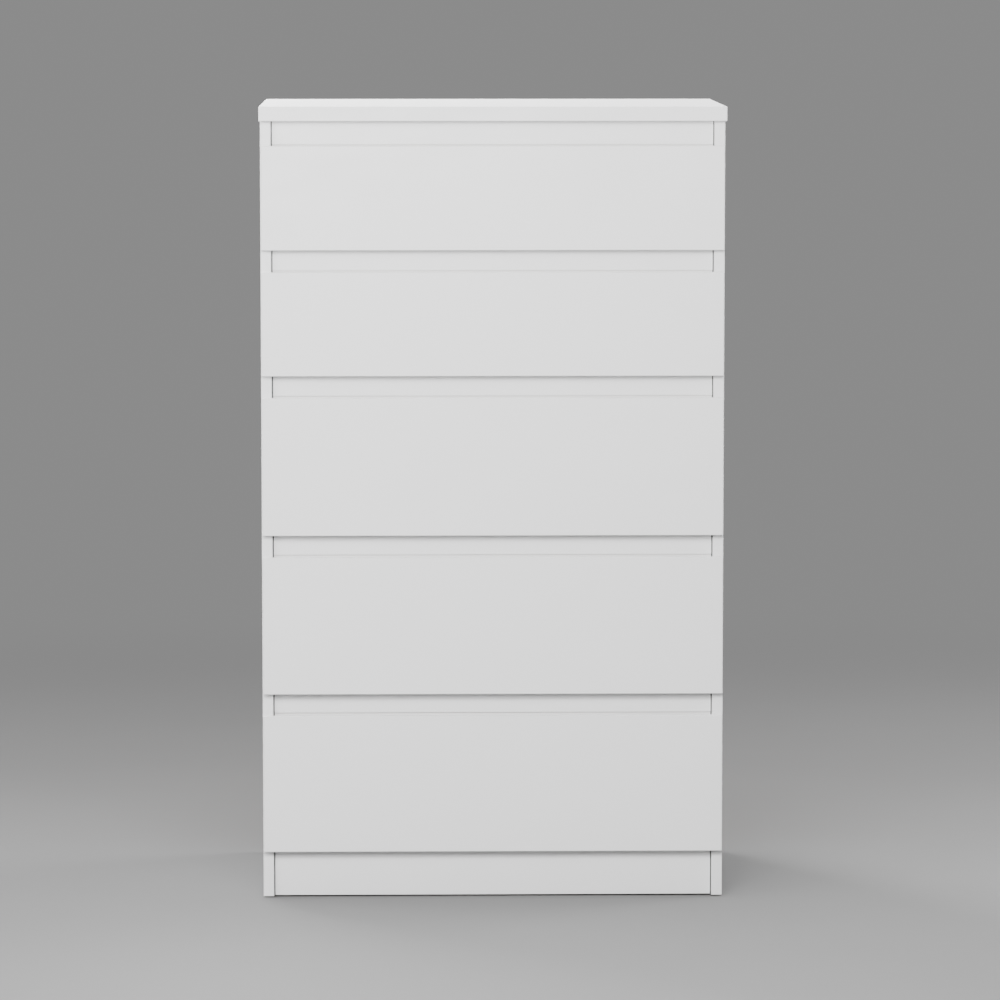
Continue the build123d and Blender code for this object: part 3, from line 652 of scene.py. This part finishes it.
def makeBackScrews(number):
    # countersunk screws through the drawer's sides into its back
    body = f"drawer_{number}"
    low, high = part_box(body + "_back")
    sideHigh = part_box(body + "_sides")[1]
    look = backScrewLook
    head = addDisc(bmesh.new(), look["radius"], look["thickness"], look["edge"])
    pattern = cutCross(head, screwLook["cross"], screwLook["slot"], look["depth"], look["thickness"])
    y = (low.y + high.y) / 2
    mesh = bmesh.new()
    for side in (-1, 1):
        places = [Vector((side * sideHigh.x, y, z)) for z in (low.z + look["inset"], high.z - look["inset"])]
        copyTo(mesh, pattern, places, (side, 0, 0))
    pattern.free()
    finishPiece(body + "_back_screws", mesh, platedSteel, body)


for number in drawerNumbers:
    makeBumpers(number)
    makeCamCaps(number)
    makeRunnerScrews(number)
    makeBackScrews(number)
print("drawer trim made")


# floor, light and camera

studio = {
    "floorRadius": 400.0,
    "floorTone": 0.2,
    "rearShadedTone": 0.16,
    "floorShadeDepths": (-0.35, 1.2),  # between these two depths the floor's tone darkens towards the back, painted shade for the light's fall-off
    "floorSideShading": (0.97, 1.03),  # share of the tone at the left and at the right, painted light and shade across the floor
    "floorShadeReach": 0.8,
    "cloudiness": 0.02,
    "fadeStart": 1.2,  # from here the floor turns into the backdrop
    "fadeEnd": 3.2,
    "backdrop": 0.268,
    "worldLight": 0.0,
}


def makeFloor():
    mesh = bmesh.new()
    bmesh.ops.create_circle(mesh, cap_ends=True, segments=96, radius=studio["floorRadius"])
    data = bpy.data.meshes.new("studio_floor")
    mesh.to_mesh(data)
    mesh.free()
    floor = bpy.data.objects.new("studio_floor", data)
    bpy.context.scene.collection.objects.link(floor)
    base = {"Roughness": 0.9, "Specular IOR Level": 0.0}
    material, tree, shader, place, normal = startMaterial("floor_paint", base)
    cloud = addNoise(tree, place, 1.3, 3.0, 0.5)
    parts = addNode(tree, "ShaderNodeSeparateXYZ", None, {0: place}).outputs
    # painted light and shade: the floor's tone is graded by depth and from left to right to stand in for how
    # the lamps' light falls off
    tone = addRange(tree, parts[1], *studio["floorShadeDepths"], studio["floorTone"], studio["rearShadedTone"])
    reach, cloudiness = studio["floorShadeReach"], studio["cloudiness"]
    tone = addMath(tree, "MULTIPLY", tone, addRange(tree, parts[0], -reach, reach, *studio["floorSideShading"]))
    clouds = addRange(tree, cloud, 0.3, 0.7, 1.0 - cloudiness, 1.0 + cloudiness)
    tone = addMath(tree, "MULTIPLY", tone, clouds)
    tree.links.new(tone, shader.inputs["Base Color"])
    distance = addNode(tree, "ShaderNodeVectorMath", {"operation": "LENGTH"}, {0: place}).outputs["Value"]
    fade = addRange(tree, distance, studio["fadeStart"], studio["fadeEnd"], 0.0, 1.0)
    white = (1, 1, 1, 1)
    glow = addNode(tree, "ShaderNodeEmission", None, {"Color": white, "Strength": studio["backdrop"]})
    mix = addNode(tree, "ShaderNodeMixShader", None, {0: fade, 1: shader.outputs[0], 2: glow.outputs[0]})
    output = next(n for n in tree.nodes if n.type == "OUTPUT_MATERIAL")
    tree.links.new(mix.outputs[0], output.inputs["Surface"])
    data.materials.append(material)


def makeWorld():
    world = bpy.data.worlds.new("studio")
    bpy.context.scene.world = world
    world.use_nodes = True
    tree = world.node_tree
    tree.nodes.clear()
    isCamera = addNode(tree, "ShaderNodeLightPath").outputs["Is Camera Ray"]
    parts = []
    for strength in (studio["worldLight"], studio["backdrop"]):
        inputs = {"Color": (1, 1, 1, 1), "Strength": strength}
        parts.append(addNode(tree, "ShaderNodeBackground", None, inputs).outputs[0])
    mix = addNode(tree, "ShaderNodeMixShader", None, {0: isCamera, 1: parts[0], 2: parts[1]})
    output = addNode(tree, "ShaderNodeOutputWorld")
    tree.links.new(mix.outputs[0], output.inputs["Surface"])


# place, aim, width and height, power in watts, and the spread of the beam in degrees
lamps = {
    "left_high_light": ((-0.7, -3.0, 2.1), (-0.28, 0.0, 1.455), (1.2, 0.45), 16.0, 180),
    "left_middle_light": ((-0.7, -3.0, 1.65), (-0.28, 0.0, 1.21), (1.2, 0.45), 55.0, 180),
    "left_low_light": ((-0.7, -3.0, 1.2), (-0.28, 0.0, 0.96), (1.2, 0.45), 35.0, 180),
    "right_high_light": ((0.3, -3.0, 2.1), (0.12, 0.0, 1.455), (1.2, 0.45), 8.0, 180),
    "right_middle_light": ((0.3, -3.0, 1.65), (0.12, 0.0, 1.21), (1.2, 0.45), 38.0, 180),
    "right_low_light": ((0.3, -3.0, 1.2), (0.12, 0.0, 0.96), (1.2, 0.45), 15.5, 180),
    "left_fill_light": ((-2.8, -2.4, 1.5), (0.0, 0.0, 0.75), (2.2, 2.2), 88.0, 180),
    "top_light": ((-0.2, 0.1, 3.4), (0.0, 0.0, 0.6), (2.4, 2.0), 178.0, 180),
    "rear_light": ((-1.0, 1.3, 1.7), (-0.15, 0.0, 1.2), (1.2, 0.6), 31.5, 70),
    "left_side_light": ((-3.2, 1.2, 1.3), (0.0, 0.2, 0.6), (1.6, 1.4), 80.0, 180),
    "right_side_light": ((3.2, 1.2, 1.3), (0.0, 0.2, 0.6), (1.6, 1.4), 150.0, 180),
    "back_light": ((0.0, 3.6, 1.5), (0.0, 0.0, 0.6), (2.0, 1.2), 20.0, 180),
}


def makeLamp(name, place, aim, size, power, spread):
    data = bpy.data.lights.new(name, "AREA")
    data.shape = "RECTANGLE"
    data.size, data.size_y = size
    data.energy = power
    data.spread = math.radians(spread)
    lamp = bpy.data.objects.new(name, data)
    bpy.context.scene.collection.objects.link(lamp)
    lamp.location = place
    lamp.rotation_euler = (Vector(aim) - lamp.location).to_track_quat("-Z", "Y").to_euler()
    lamp.visible_camera = False


view = {
    "place": (-0.1322, -7.71, 1.4117),
    "yaw": 1.0895,
    "tilt": -6.1059,
    "focal": 5.0124,
    "sensor": 36.0,
    "far": 200.0,
}


def makeCamera():
    data = bpy.data.cameras.new("camera")
    data.sensor_width = view["sensor"]
    data.lens = view["focal"] * view["sensor"]
    data.clip_end = view["far"]
    camera = bpy.data.objects.new("camera", data)
    bpy.context.scene.collection.objects.link(camera)
    camera.location = view["place"]
    camera.rotation_euler = (math.radians(90 + view["tilt"]), 0.0, math.radians(-view["yaw"]))
    bpy.context.scene.camera = camera


makeFloor()
makeWorld()
for lampName, lampLook in lamps.items():
    makeLamp(lampName, *lampLook)
makeCamera()
print("studio made")
